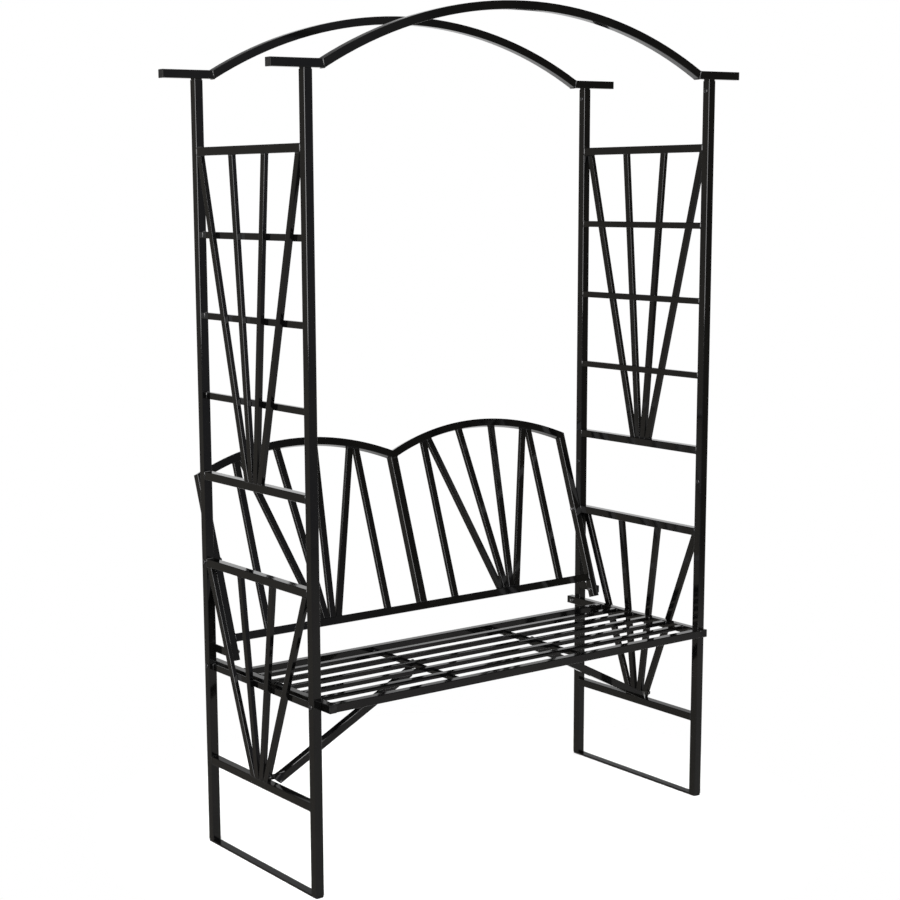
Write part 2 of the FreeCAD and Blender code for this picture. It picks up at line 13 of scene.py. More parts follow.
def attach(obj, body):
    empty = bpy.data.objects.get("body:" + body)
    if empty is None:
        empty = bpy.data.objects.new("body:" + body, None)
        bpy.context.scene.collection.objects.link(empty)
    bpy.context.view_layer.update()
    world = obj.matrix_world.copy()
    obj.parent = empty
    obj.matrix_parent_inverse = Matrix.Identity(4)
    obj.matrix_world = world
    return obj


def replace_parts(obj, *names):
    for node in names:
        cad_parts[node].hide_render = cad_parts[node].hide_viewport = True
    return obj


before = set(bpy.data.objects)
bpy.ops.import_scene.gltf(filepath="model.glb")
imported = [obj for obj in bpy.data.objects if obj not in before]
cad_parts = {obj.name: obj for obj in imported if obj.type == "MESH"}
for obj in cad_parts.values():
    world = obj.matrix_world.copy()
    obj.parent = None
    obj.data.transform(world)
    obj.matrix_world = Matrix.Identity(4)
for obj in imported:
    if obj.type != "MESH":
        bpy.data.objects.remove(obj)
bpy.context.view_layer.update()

LOG = logging.getLogger("arbour")
MM = 0.001
ROOT = "root"
SAME_POINT = 1e-5
SAME_ON_AXIS = 1e-7
SAME_LEVEL = 1e-6
FLAT_ANGLE = math.radians(0.4)
SHARP_ANGLE = math.radians(38)
LEAST_ROUNDED = math.radians(22)
CORNER_TURN = math.radians(60)
CUT_TURN = math.radians(100)
SHORTEST_ROUNDED = 1.2 * MM
ROUNDING_STEPS = 3
ROUND_PROFILE = 0.5
MOST_TILT = 30
WHITE = (1.0, 1.0, 1.0)
UP = (0.0, 0.0, 1.0)

Colour = tuple[float, float, float]
Range = tuple[float, float]
Profile = list[tuple[float, float]]
Number = Union[float, "Value"]


class Slot(Enum):
    """The record's material slots."""

    POWDER = "powder_coat"
    CAP = "cap_plastic"
    BOLT = "bolt_steel"
    NUT = "nut_steel"


# Shader maths


class Value:
    """A number socket of a shader tree, for use in Python expressions."""

    def __init__(self, tree: "Tree", socket: bpy.types.NodeSocket) -> None:
        """Keeps the tree and the socket.

        Args:
            tree: The tree that new nodes go to.
            socket: The output socket that holds the number.
        """
        self.tree = tree
        self.socket = socket

    def maths(self, operation: str, *others: Number, clamp: bool = False) -> "Value":
        """Puts this number through a Math node.

        Args:
            operation: The Math node's operation.
            others: The node's other inputs, in order.
            clamp: Whether the result is held between 0 and 1.

        Returns:
            The node's result.
        """
        return self.tree.maths(operation, self, *others, clamp=clamp)

    def __add__(self, other: Number) -> "Value":
        """Adds."""
        return self.maths("ADD", other)

    __radd__ = __add__

    def __mul__(self, other: Number) -> "Value":
        """Multiplies."""
        return self.maths("MULTIPLY", other)

    __rmul__ = __mul__

    def clamped(self) -> "Value":
        """Holds the number between 0 and 1."""
        return self.maths("ADD", 0.0, clamp=True)

    def step(self, low: float, high: float) -> "Value":
        """Turns the number into a smooth 0 to 1 step.

        Args:
            low: The number that gives 0.
            high: The number that gives 1.

        Returns:
            The smooth step.
        """
        node = self.tree.node(
            "ShaderNodeMapRange",
            {"interpolation_type": "SMOOTHSTEP"},
            {"Value": self, "From Min": low, "From Max": high},
        )
        return self.tree.value(node, "Result")


@dataclass(frozen=True)
class Grain:
    """A noise's lumps to a metre, its finer layers and how strong these are."""

    scale: float
    detail: float = 2.0
    roughness: float = 0.5


class Tree:
    """A shader tree under construction."""

    def __init__(self, tree: bpy.types.NodeTree) -> None:
        """Empties the tree.

        Args:
            tree: A material's or the world's node tree.
        """
        self.tree = tree
        self.tree.nodes.clear()

    def node(
        self,
        kind: str,
        settings: dict[str, object] | None = None,
        sockets: dict[str | int, object] | None = None,
    ) -> bpy.types.Node:
        """Adds a node.

        Args:
            kind: The node's type.
            settings: What is set on the node first, such as its operation.
            sockets: A value, a socket or a Value for each input, by name or index.

        Returns:
            The new node.
        """
        made = self.tree.nodes.new(kind)
        for name, setting in (settings or {}).items():
            setattr(made, name, setting)
        for name, given in (sockets or {}).items():
            socket = made.inputs[name]
            if isinstance(given, Value):
                given = given.socket
            if isinstance(given, bpy.types.NodeSocket):
                self.tree.links.new(given, socket)
            else:
                socket.default_value = given
        return made

    def value(self, node: bpy.types.Node, output: str | int = 0) -> Value:
        """Wraps a node's output."""
        return Value(self, node.outputs[output])

    def maths(self, operation: str, *inputs: Number, clamp: bool = False) -> Value:
        """Adds a Math node.

        Args:
            operation: The node's operation.
            inputs: Its inputs, in order.
            clamp: Whether the result is held between 0 and 1.

        Returns:
            The node's result.
        """
        settings = {"operation": operation, "use_clamp": clamp}
        return self.value(self.node("ShaderNodeMath", settings, dict(enumerate(inputs))))

    def blend(self, factor: Number, first: object, second: object) -> bpy.types.NodeSocket:
        """Mixes two colours.

        Args:
            factor: How much of the second colour shows.
            first: The colour, or its socket, at 0.
            second: The colour, or its socket, at 1.

        Returns:
            The mixed colour's socket.
        """
        given = [(*c, 1.0) if isinstance(c, tuple) else c for c in (first, second)]
        mix = self.node(
            "ShaderNodeMix", {"data_type": "RGBA"}, {0: factor, 6: given[0], 7: given[1]}
        )
        return mix.outputs[2]

    def along(self, vector: bpy.types.NodeSocket, direction: Colour) -> Value:
        """Measures a vector along a direction."""
        dot = self.node(
            "ShaderNodeVectorMath", {"operation": "DOT_PRODUCT"}, {0: vector, 1: direction}
        )
        return self.value(dot, "Value")

    def place(self) -> bpy.types.NodeSocket:
        """Gives the place on the object, in metres."""
        return self.node("ShaderNodeTexCoord").outputs["Object"]

    def noise(self, grain: Grain) -> Value:
        """Adds a noise over the object.

        Args:
            grain: The noise's size and roughness.

        Returns:
            The noise, from 0 to 1.
        """
        sockets = {
            "Vector": self.place(), "Scale": grain.scale,
            "Detail": grain.detail, "Roughness": grain.roughness,
        }
        return self.value(self.node("ShaderNodeTexNoise", None, sockets))

    def facing_up(self) -> Value:
        """Gives how far the surface faces up, from -1 to 1."""
        normal = self.node("ShaderNodeNewGeometry").outputs["Normal"]
        return self.along(normal, UP)

    def bump(self, height: Value, depth: float) -> bpy.types.NodeSocket:
        """Turns a height into a normal.

        Args:
            height: The height, from 0 to 1.
            depth: The height's full depth in metres.

        Returns:
            The bumped normal's socket.
        """
        sockets = {"Height": height, "Distance": depth, "Strength": 1.0}
        return self.node("ShaderNodeBump", None, sockets).outputs["Normal"]

    def surface(self, sockets: dict[str | int, object]) -> None:
        """Ends the tree with a Principled shader.

        Args:
            sockets: The shader's inputs.
        """
        shader = self.node("ShaderNodeBsdfPrincipled", None, sockets)
        self.node("ShaderNodeOutputMaterial", None, {"Surface": shader.outputs[0]})


def new_material(name: str) -> tuple[bpy.types.Material, Tree]:
    """Makes an empty material.

    Args:
        name: The material's name.

    Returns:
        The material and its tree.
    """
    material = bpy.data.materials.new(name)
    material.use_nodes = True
    return material, Tree(material.node_tree)


# Finishes


@dataclass(frozen=True)
class PowderCoat:
    """Gloss black powder coat: a fine orange peel, a little dust on what faces up."""

    colour: Colour = (0.0007, 0.0007, 0.0008)
    worn: Colour = (0.0018, 0.0017, 0.0016)
    dust: Colour = (0.035, 0.034, 0.032)
    cloud: Grain = Grain(9.0, 4.0, 0.6)
    specks: Grain = Grain(900.0, 1.0)
    peel: Grain = Grain(420.0, 2.0, 0.4)
    wave: Grain = Grain(55.0, 1.0)
    worn_range: Range = (0.3, 0.7)
    dusty_range: Range = (0.4, 0.75)
    level_range: Range = (0.5, 1.0)
    speck_range: Range = (0.66, 0.78)
    dust_share: float = 0.03
    speck_share: float = 0.03
    peel_share: float = 0.7
    wave_share: float = 0.3
    peel_depth: float = 5e-6
    shine: float = 0.5
    roughness: float = 0.055
    cloud_roughness: float = 0.035
    dust_roughness: float = 0.04

    def material(self) -> bpy.types.Material:
        """Builds the material."""
        material, tree = new_material("powder_coat")
        cloud = tree.noise(self.cloud)
        specks = tree.noise(self.specks).step(*self.speck_range)
        level = tree.facing_up().step(*self.level_range)
        settled = (level * cloud.step(*self.dusty_range)).clamped()
        coat = tree.blend(cloud.step(*self.worn_range), self.colour, self.worn)
        dusty = settled * self.dust_share + specks * self.speck_share
        bumps = tree.noise(self.peel) * self.peel_share + tree.noise(self.wave) * self.wave_share
        rough = self.roughness + cloud * self.cloud_roughness + settled * self.dust_roughness
        tree.surface({
            "Base Color": tree.blend(dusty, coat, self.dust),
            "Roughness": rough,
            "Specular IOR Level": self.shine,
            "Normal": tree.bump(bumps, self.peel_depth),
        })
        return material


@dataclass(frozen=True)
class CoatedWeld:
    """The same powder coat over the ripples of a weld bead, with a painted highlight: a lighter
    colour on the ripples' crests.
    """

    colour: Colour = (0.0035, 0.0035, 0.0038)
    # painted highlight: the lighter colour that the ripples' crests get
    crest: Colour = (0.007, 0.007, 0.007)
    ripple: Grain = Grain(650.0, 1.0, 0.4)
    highlight_crest_range: Range = (0.45, 0.7)
    ripple_depth: float = 0.00022
    roughness: float = 0.09
    ripple_roughness: float = 0.06

    def material(self) -> bpy.types.Material:
        """Builds the material."""
        material, tree = new_material("coated_weld")
        ripple = tree.noise(self.ripple)
        tree.surface({
            # painted highlight: the crests of the ripple turn lighter
            "Base Color": tree.blend(ripple.step(*self.highlight_crest_range), self.colour, self.crest),
            "Roughness": self.roughness + ripple * self.ripple_roughness,
            "Normal": tree.bump(ripple, self.ripple_depth),
        })
        return material


@dataclass(frozen=True)
class CapPlastic:
    """Moulded black plastic of the end caps, with a fine grain."""

    colour: Colour = (0.006, 0.006, 0.0062)
    scuffed: Colour = (0.016, 0.0155, 0.015)
    grain: Grain = Grain(1400.0)
    cloud: Grain = Grain(60.0, 3.0, 0.6)
    scuffed_range: Range = (0.45, 0.8)
    grain_depth: float = 12e-6
    shine: float = 0.22
    roughness: float = 0.3
    cloud_roughness: float = 0.12

    def material(self) -> bpy.types.Material:
        """Builds the material."""
        material, tree = new_material("cap_plastic")
        cloud = tree.noise(self.cloud)
        tree.surface({
            "Base Color": tree.blend(cloud.step(*self.scuffed_range), self.colour, self.scuffed),
            "Roughness": self.roughness + cloud * self.cloud_roughness,
            "Specular IOR Level": self.shine,
            "Normal": tree.bump(tree.noise(self.grain), self.grain_depth),
        })
        return material


@dataclass(frozen=True)
class Plated:
    """Plated steel of the bolts and nuts, with fine turning marks and a mottled sheen."""

    name: str
    colour: Colour
    dull: Colour
    metallic: float
    roughness: float
    mottle: Grain = Grain(700.0, 4.0, 0.6)
    marks: Grain = Grain(3200.0)
    dull_range: Range = (0.35, 0.75)
    marks_depth: float = 5e-6
    mottle_roughness: float = 0.15

    def material(self) -> bpy.types.Material:
        """Builds the material."""
        material, tree = new_material(self.name)
        mottle = tree.noise(self.mottle)
        tree.surface({
            "Base Color": tree.blend(mottle.step(*self.dull_range), self.colour, self.dull),
            "Metallic": self.metallic,
            "Roughness": self.roughness + mottle * self.mottle_roughness,
            "Normal": tree.bump(tree.noise(self.marks), self.marks_depth),
        })
        return material


BLACK_BOLT = Plated("bolt_steel", (0.03, 0.03, 0.032), (0.055, 0.053, 0.05), 0.75, 0.24)
DULL_NUT = Plated("nut_steel", (0.2, 0.2, 0.2), (0.12, 0.118, 0.115), 1.0, 0.34)


class Finishes:
    """The materials of the seat: one for each slot, and the powder coat's rippled form."""

    def __init__(self) -> None:
        """Builds the materials."""
        self.weld = CoatedWeld().material()
        self.by_slot = {
            Slot.POWDER: PowderCoat().material(),
            Slot.CAP: CapPlastic().material(),
            Slot.BOLT: BLACK_BOLT.material(),
            Slot.NUT: DULL_NUT.material(),
        }

    def dress(self, piece: bpy.types.Object, slot: Slot) -> bpy.types.Object:
        """Gives a piece the slot's material.

        Args:
            piece: The mesh object.
            slot: The record's slot.

        Returns:
            The piece.
        """
        piece.data.materials.clear()
        piece.data.materials.append(self.by_slot[slot])
        return piece


# Mesh helpers


def merged_copy(node: str) -> bmesh.types.BMesh:
    """Copies a CAD node's mesh, with its doubles merged and its flat faces made whole.

    Args:
        node: The CAD node's name.

    Returns:
        The copy.
    """
    shape = bmesh.new()
    shape.from_mesh(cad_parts[node].data)
    bmesh.ops.remove_doubles(shape, verts=shape.verts[:], dist=SAME_POINT)
    bmesh.ops.dissolve_limit(
        shape, angle_limit=FLAT_ANGLE, verts=shape.verts[:], edges=shape.edges[:],
        use_dissolve_boundaries=False,
    )
    return shape


def islands(shape: bmesh.types.BMesh) -> list[list[bmesh.types.BMVert]]:
    """Sorts a mesh's vertices into its separate bodies.

    Args:
        shape: The mesh.

    Returns:
        The vertices of each body.
    """
    seen: set[bmesh.types.BMVert] = set()
    found = []
    for first in shape.verts:
        if first in seen:
            continue
        seen.add(first)
        body, waiting = [], [first]
        while waiting:
            vertex = waiting.pop()
            body.append(vertex)
            for edge in vertex.link_edges:
                other = edge.other_vert(vertex)
                if other not in seen:
                    seen.add(other)
                    waiting.append(other)
        found.append(body)
    return found


def box_of(points: Iterable[Vector]) -> tuple[Vector, Vector]:
    """Gives the lowest and highest corners of some points."""
    held = list(points)
    low = Vector(min(p[i] for p in held) for i in range(3))
    high = Vector(max(p[i] for p in held) for i in range(3))
    return low, high


def soften(shape: bmesh.types.BMesh, edges: list[bmesh.types.BMEdge], width: float) -> None:
    """Rounds edges.

    Args:
        shape: The mesh.
        edges: The edges.
        width: How far the rounding reaches to each side, in metres.
    """
    if edges:
        bmesh.ops.bevel(
            shape, geom=edges, offset=width, offset_type="OFFSET", affect="EDGES",
            segments=ROUNDING_STEPS, profile=ROUND_PROFILE, clamp_overlap=True, material=-1,
        )


def shade(shape: bmesh.types.BMesh) -> None:
    """Marks every face smooth, and every edge sharper than SHARP_ANGLE sharp."""
    for face in shape.faces:
        face.smooth = True
    for edge in shape.edges:
        edge.smooth = not edge.is_manifold or edge.calc_face_angle(0.0) < SHARP_ANGLE


def new_piece(
    name: str, shape: bmesh.types.BMesh, slot: Slot, finishes: Finishes
) -> bpy.types.Object:
    """Makes an object of a mesh, and rides it on the root body.

    Args:
        name: The piece's name.
        shape: The mesh, which is used up.
        slot: The record's slot of its finish.
        finishes: The materials.

    Returns:
        The piece.
    """
    shade(shape)
    mesh = bpy.data.meshes.new(name)
    shape.to_mesh(mesh)
    shape.free()
    piece = bpy.data.objects.new(name, mesh)
    bpy.context.scene.collection.objects.link(piece)
    evened = piece.modifiers.new("even_normals", "WEIGHTED_NORMAL")
    evened.keep_sharp = True
    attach(finishes.dress(piece, slot), ROOT)
    return piece


def revolved(profile: Profile, steps: int) -> bmesh.types.BMesh:
    """Spins a profile about the Z axis.

    Args:
        profile: Radius and height of each point, in metres, from the outer end to the inner.
        steps: How many faces go round.

    Returns:
        The shell, open at both ends of the profile unless these lie on the axis.
    """
    shape = bmesh.new()
    points = [shape.verts.new((radius, 0.0, height)) for radius, height in profile]
    edges = [shape.edges.new(pair) for pair in zip(points, points[1:])]
    bmesh.ops.spin(
        shape, geom=points + edges, cent=(0, 0, 0), axis=(0, 0, 1), angle=math.tau,
        steps=steps, use_merge=True, use_duplicate=False,
    )
    bmesh.ops.remove_doubles(shape, verts=shape.verts[:], dist=SAME_ON_AXIS)
    bmesh.ops.recalc_face_normals(shape, faces=shape.faces[:])
    return shape


def add_copy(target: bmesh.types.BMesh, source: bpy.types.Mesh, place: Matrix) -> None:
    """Adds a placed copy of a mesh to a bmesh.

    Args:
        target: The bmesh that grows.
        source: The mesh to copy.
        place: The matrix that places it.
    """
    before = len(target.verts)
    target.from_mesh(source)
    target.verts.ensure_lookup_table()
    bmesh.ops.transform(target, matrix=place, verts=target.verts[before:])


def stored(name: str, shape: bmesh.types.BMesh) -> bpy.types.Mesh:
    """Keeps a bmesh as a mesh, to be copied.

    Args:
        name: The mesh's name.
        shape: The bmesh, which is used up.

    Returns:
        The mesh.
    """
    mesh = bpy.data.meshes.new(name)
    shape.to_mesh(mesh)
    shape.free()
    return mesh


# Coated steel


def round_edges(shape: bmesh.types.BMesh, width: float, most: float) -> None:
    """Rounds a mesh's outer edges.

    Args:
        shape: The merged mesh.
        width: How far the rounding reaches to each side, in metres.
        most: The sharpest turn, in radians, that is still rounded.
    """
    edges = [
        edge for edge in shape.edges
        if edge.is_manifold and edge.is_convex
        and LEAST_ROUNDED < edge.calc_face_angle(0.0) < most
        and edge.calc_length() > SHORTEST_ROUNDED
    ]
    soften(shape, edges, width)


@dataclass
class CoatedSteel:
    """Steel pieces whose CAD solids get round edges under the powder coat."""

    finishes: Finishes
    corner_width: float = 0.55 * MM
    slim_width: float = 0.45 * MM
    slim_endings: tuple[str, ...] = (
        "rung", "rungs", "fan_bars", "slats", "cross_bars", "uprights",
    )

    def stand_in(self, node: str, shape: bmesh.types.BMesh) -> bpy.types.Object:
        """Puts a rounded copy in a node's place.

        Args:
            node: The CAD node's name.
            shape: The rounded copy, which is used up.

        Returns:
            The new piece.
        """
        piece = new_piece(f"{node}_coated", shape, Slot.POWDER, self.finishes)
        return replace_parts(piece, node)

    def tube(self, node: str) -> bpy.types.Object:
        """Rounds a tube's long corners, those of a slim bar more finely.

        Args:
            node: The CAD node's name.

        Returns:
            The new piece.
        """
        width = self.slim_width if node.endswith(self.slim_endings) else self.corner_width
        shape = merged_copy(node)
        round_edges(shape, width, CORNER_TURN)
        return self.stand_in(node, shape)

    def plate(self, node: str, width: float) -> bpy.types.Object:
        """Rounds all the outer edges of a post, a plate or a pressed end.

        Args:
            node: The CAD node's name.
            width: How far the rounding reaches.

        Returns:
            The new piece.
        """
        shape = merged_copy(node)
        round_edges(shape, width, CUT_TURN)
        return self.stand_in(node, shape)


# Welds


@dataclass
class Welds:
    """Small beads round the ends of the bars, along the edges where they meet another tube."""

    finishes: Finishes
    proud: float = 1.25 * MM
    spread: float = 2.1 * MM
    sides: int = 6
    rings: int = 4
    shortest: float = 4.0 * MM
    tip_radius: float = 0.55
    tip_length: float = 0.05
    swell: float = 1.8
    unevenness: float = 0.16
    waves: float = 23.0
    end_facing: float = 0.6
    side_facing: float = 0.3

    def unit_bead(self) -> bpy.types.Mesh:
        """Makes a bead one unit long with a slightly uneven width and narrow tips."""
        shape = bmesh.new()
        bmesh.ops.create_cone(
            shape, cap_ends=True, segments=self.sides, radius1=self.tip_radius,
            radius2=self.tip_radius, depth=1.0,
        )
        long_edges = [e for e in shape.edges if abs(e.verts[0].co.z - e.verts[1].co.z) > 0.5]
        bmesh.ops.subdivide_edges(shape, edges=long_edges, cuts=self.rings, use_grid_fill=True)
        for vertex in shape.verts:
            if abs(vertex.co.z) < 0.5 - self.tip_length:
                swell = self.swell + self.unevenness * math.sin(vertex.co.z * self.waves)
                vertex.co.x *= swell
                vertex.co.y *= swell
        return stored("unit_bead", shape)

    def runs(self, body: list[bmesh.types.BMVert]) -> list[tuple[Vector, Vector, Vector]]:
        """Finds the edges round both ends of one bar.

        Args:
            body: The bar's vertices.

        Returns:
            The two ends of each edge, and the way that the bar's side faces there.
        """
        edges = list(dict.fromkeys(edge for vertex in body for edge in vertex.link_edges))
        longest = max(edges, key=lambda edge: edge.calc_length())
        along = (longest.verts[1].co - longest.verts[0].co).normalized()
        low, high = box_of(v.co for v in body)
        middle = (low + high) / 2
        found = []
        for edge in edges:
            ends = [f for f in edge.link_faces if abs(f.normal.dot(along)) > self.end_facing]
            sides = [f for f in edge.link_faces if abs(f.normal.dot(along)) < self.side_facing]
            if len(ends) != 1 or len(sides) != 1 or edge.calc_length() < self.shortest:
                continue
            out = sides[0].calc_center_median() - middle
            if (out - along * out.dot(along)).dot(sides[0].normal) > 0:
                start, end = (vertex.co.copy() for vertex in edge.verts)
                found.append((start, end, sides[0].normal.copy()))
        return found

    def along_ends(self, name: str, nodes: list[str], reach: float) -> bpy.types.Object:
        """Lays beads round the ends of several nodes' bars.

        Args:
            name: The new piece's name.
            nodes: The CAD nodes whose bars are welded.
            reach: How far from the seat's middle plane an end is still welded, in metres.

        Returns:
            The beads, as one piece.
        """
        bead = self.unit_bead()
        welds = bmesh.new()
        for node in nodes:
            shape = merged_copy(node)
            for body in islands(shape):
                for start, end, outwards in self.runs(body):
                    if abs((start + end).x / 2) <= reach:
                        add_copy(welds, bead, self.placed(start, end, outwards))
            shape.free()
        bmesh.ops.recalc_face_normals(welds, faces=welds.faces[:])
        piece = new_piece(name, welds, Slot.POWDER, self.finishes)
        piece.data.materials[0] = self.finishes.weld
        return piece

    def placed(self, start: Vector, end: Vector, outwards: Vector) -> Matrix:
        """Gives the matrix that lays the unit bead, flattened, between two points.

        Args:
            start: The bead's first end.
            end: The bead's other end.
            outwards: The way that the surface under the bead faces.

        Returns:
            The matrix.
        """
        run = end - start
        across = run.cross(outwards).normalized()
        turn = Matrix((outwards, across, run.normalized())).transposed().to_4x4()
        size = Matrix.Diagonal((self.proud, self.spread, run.length, 1.0))
        return Matrix.Translation((start + end) / 2) @ turn @ size


# Caps and fasteners


@dataclass
class Caps:
    """Moulded caps in the open tube ends."""

    finishes: Finishes
    rim: float = 0.5 * MM

    def fit(self, node: str) -> bpy.types.Object:
        """Replaces a node of caps with copies whose edges are moulded round.

        Args:
            node: The CAD node's name.

        Returns:
            The new piece.
        """
        shape = merged_copy(node)
        round_edges(shape, self.rim, CUT_TURN)
        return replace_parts(new_piece(f"{node}_moulded", shape, Slot.CAP, self.finishes), node)


@dataclass(frozen=True)
class Seat:
    """Where a fastener stands: its foot, the way it points and its size."""

    foot: Vector
    outwards: Vector
    radius: float
    high: float

    def matrix(self) -> Matrix:
        """Gives the matrix that stands an upright shape there."""
        turn = self.outwards.to_track_quat("Z", "Y").to_matrix().to_4x4()
        return Matrix.Translation(self.foot) @ turn


def short_direction(points: list[Vector]) -> Vector:
    """Finds the direction across the nearest pair of opposite faces of a low round body.

    It is the X axis, or lies at most MOST_TILT degrees from the Y or the Z axis.

    Args:
        points: The body's vertices.

    Returns:
        The direction.
    """
    middle = sum(points, Vector()) / len(points)
    best, least = Vector(UP), math.inf
    for tilt in range(-MOST_TILT, MOST_TILT + 1):
        angle = math.radians(tilt)
        for way in (
            Vector((1.0, 0.0, 0.0)),
            Vector((0.0, math.cos(angle), math.sin(angle))),
            Vector((0.0, math.sin(angle), math.cos(angle))),
        ):
            reach = max(abs((p - middle).dot(way)) for p in points)
            if reach < least:
                best, least = way, reach
    return best


@dataclass
class Fasteners:
    """Button-head screws and hexagon nuts that stand where the CAD ones do."""

    finishes: Finishes
    steps: int = 32
    dome: tuple[tuple[float, float], ...] = (
        (0.9, 0.0), (1.0, 0.06), (1.0, 0.22), (0.96, 0.42), (0.87, 0.64), (0.74, 0.82), (0.6, 0.94),
    )
    crown_share: float = 0.5
    socket_rim: float = 0.62
    rim_room: float = 1.06
    socket_across: float = 4.0 * MM
    socket_lead: float = 0.25 * MM
    socket_deep: float = 1.7 * MM
    head_turn: float = 0.7
    nut_turn: float = 0.4
    nut_rounding: float = 0.4 * MM
    taper_least: float = 0.2 * MM
    sideways_least: float = 0.9
    thread_radius: float = 3.0 * MM
    thread_sunk: float = 0.5 * MM
    thread_past: float = 2.0 * MM
    thread_pitch: float = 0.8 * MM
    thread_deep: float = 0.35 * MM
    thread_lead: float = 0.5 * MM
    washer_radius: float = 6.4 * MM
    washer_thick: float = 1.0 * MM
    washer_foot: float = 0.15 * MM
    washer_edge: tuple[float, float] = (0.3 * MM, 0.25 * MM)

    def seats(self, node: str) -> list[Seat]:
        """Finds where each fastener of a node stands.

        Args:
            node: The CAD node's name.

        Returns:
            One seat for each fastener.
        """
        shape = merged_copy(node)
        found = []
        for body in islands(shape):
            points = [v.co.copy() for v in body]
            found.append(self.seat_of(points))
        shape.free()
        return found

    def seat_of(self, points: list[Vector]) -> Seat:
        """Works out one fastener's seat from its vertices.

        Args:
            points: The vertices of a head that tapers outwards, or of a nut.

        Returns:
            The seat.
        """
        way = short_direction(points)
        middle = sum(points, Vector()) / len(points)
        levels = [(p - middle).dot(way) for p in points]
        high = max(levels) - min(levels)

        def reach(side: float) -> float:
            """Gives the widest radius on one side of the middle."""
            return max(
                (p - middle - way * level).length
                for p, level in zip(points, levels) if level * side > 0
            )

        outer, inner = reach(1.0), reach(-1.0)
        if abs(outer - inner) > self.taper_least:
            outwards = way if outer < inner else -way
        elif abs(way.x) > self.sideways_least:
            outwards = Vector((-math.copysign(1.0, middle.x), 0.0, 0.0))
        else:
            outwards = way if way.z > 0 else -way
        low = min((p - middle).dot(outwards) for p in points)
        return Seat(middle + outwards * low, outwards, max(outer, inner), high)

    def head(self, seat: Seat) -> bmesh.types.BMesh:
        """Turns a domed head and sinks its hexagon socket.

        Args:
            seat: The head's size.

        Returns:
            The head, upright at the origin.
        """
        radius, high = seat.radius, seat.high
        rim = self.socket_rim * self.socket_across
        profile = [(out * radius, up * high) for out, up in self.dome]
        profile += [(max(self.crown_share * radius, self.rim_room * rim), high), (rim, high)]
        shape = revolved(profile, self.steps)
        open_edges = [e for e in shape.edges if e.is_boundary]
        ring = [e for e in open_edges if e.verts[0].co.z > high / 2]
        foot = [e for e in open_edges if e.verts[0].co.z < high / 2]
        bmesh.ops.holes_fill(shape, edges=foot)
        for deep in (self.socket_lead, self.socket_deep):
            grown = bmesh.ops.extrude_edge_only(shape, edges=ring)["geom"]
            for vertex in (g for g in grown if isinstance(g, bmesh.types.BMVert)):
                vertex.co = self.on_hexagon(vertex.co, high - deep)
            ring = [g for g in grown if isinstance(g, bmesh.types.BMEdge) and g.is_boundary]
        bmesh.ops.holes_fill(shape, edges=ring)
        bmesh.ops.recalc_face_normals(shape, faces=shape.faces[:])
        return shape

    def on_hexagon(self, point: Vector, height: float) -> Vector:
        """Moves a point in or out onto the socket's hexagon.

        Args:
            point: A point round the axis.
            height: The height that it gets.

        Returns:
            The moved point.
        """
        half_side = math.pi / 6
        angle = math.atan2(point.y, point.x)
        turned = (angle + half_side) % (2 * half_side) - half_side
        radius = self.socket_across / 2 / math.cos(turned)
        return Vector((radius * math.cos(angle), radius * math.sin(angle), height))

    def screws(self, node: str) -> bpy.types.Object:
        """Replaces a node of plain heads with domed ones.

        Args:
            node: The CAD node's name.

        Returns:
            The new piece.
        """
        heads = bmesh.new()
        for number, seat in enumerate(self.seats(node)):
            head = stored(f"{node}_{number}", self.head(seat))
            turn = Matrix.Rotation(self.head_turn * number, 4, "Z")
            add_copy(heads, head, seat.matrix() @ turn)
        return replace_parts(new_piece(f"{node}_domed", heads, Slot.BOLT, self.finishes), node)

    def nut(self, seat: Seat) -> bpy.types.Mesh:
        """Makes a hexagon nut on its washer, with the bolt's end standing out of it.

        Args:
            seat: The nut's size.

        Returns:
            The nut, upright at the origin.
        """
        shape = bmesh.new()
        faces = bmesh.ops.create_circle(
            shape, cap_ends=True, segments=6, radius=seat.radius,
            matrix=Matrix.Translation((0, 0, self.washer_thick)),
        )["verts"][0].link_faces[:]
        grown = bmesh.ops.extrude_face_region(shape, geom=faces)["geom"]
        raised = [g for g in grown if isinstance(g, bmesh.types.BMVert)]
        bmesh.ops.translate(shape, vec=(0, 0, seat.high - self.washer_thick), verts=raised)
        bmesh.ops.recalc_face_normals(shape, faces=shape.faces[:])
        level = [e for e in shape.edges if abs(e.verts[0].co.z - e.verts[1].co.z) < SAME_LEVEL]
        soften(shape, level, self.nut_rounding)
        hexagon = stored("hexagon", shape)
        thread = stored("thread", revolved(self.thread_profile(seat.high), self.steps))
        whole = revolved(self.washer_profile(), self.steps)
        add_copy(whole, thread, Matrix())
        add_copy(whole, hexagon, Matrix())
        return stored("nut", whole)

    def washer_profile(self) -> Profile:
        """Gives the washer's outline as radii and heights."""
        radius, thick, foot = self.washer_radius, self.washer_thick, self.washer_foot
        inwards, down = self.washer_edge
        return [
            (0.0, 0.0), (radius - foot, 0.0), (radius, foot),
            (radius, thick - down), (radius - inwards, thick), (0.0, thick),
        ]

    def thread_profile(self, start: float) -> Profile:
        """Gives the outline of the bolt's threaded end.

        Args:
            start: The height of the nut's top.

        Returns:
            Radii and heights.
        """
        crest, root = self.thread_radius, self.thread_radius - self.thread_deep
        foot, top = start - self.thread_sunk, start + self.thread_past
        outline = [(0.0, foot), (crest, foot)]
        for turn in range(int(self.thread_past / self.thread_pitch)):
            base = start + turn * self.thread_pitch
            for radius, share in ((crest, 0.1), (root, 0.5), (crest, 0.9)):
                outline.append((radius, base + share * self.thread_pitch))
        return outline + [(crest - self.thread_lead, top), (0.0, top)]

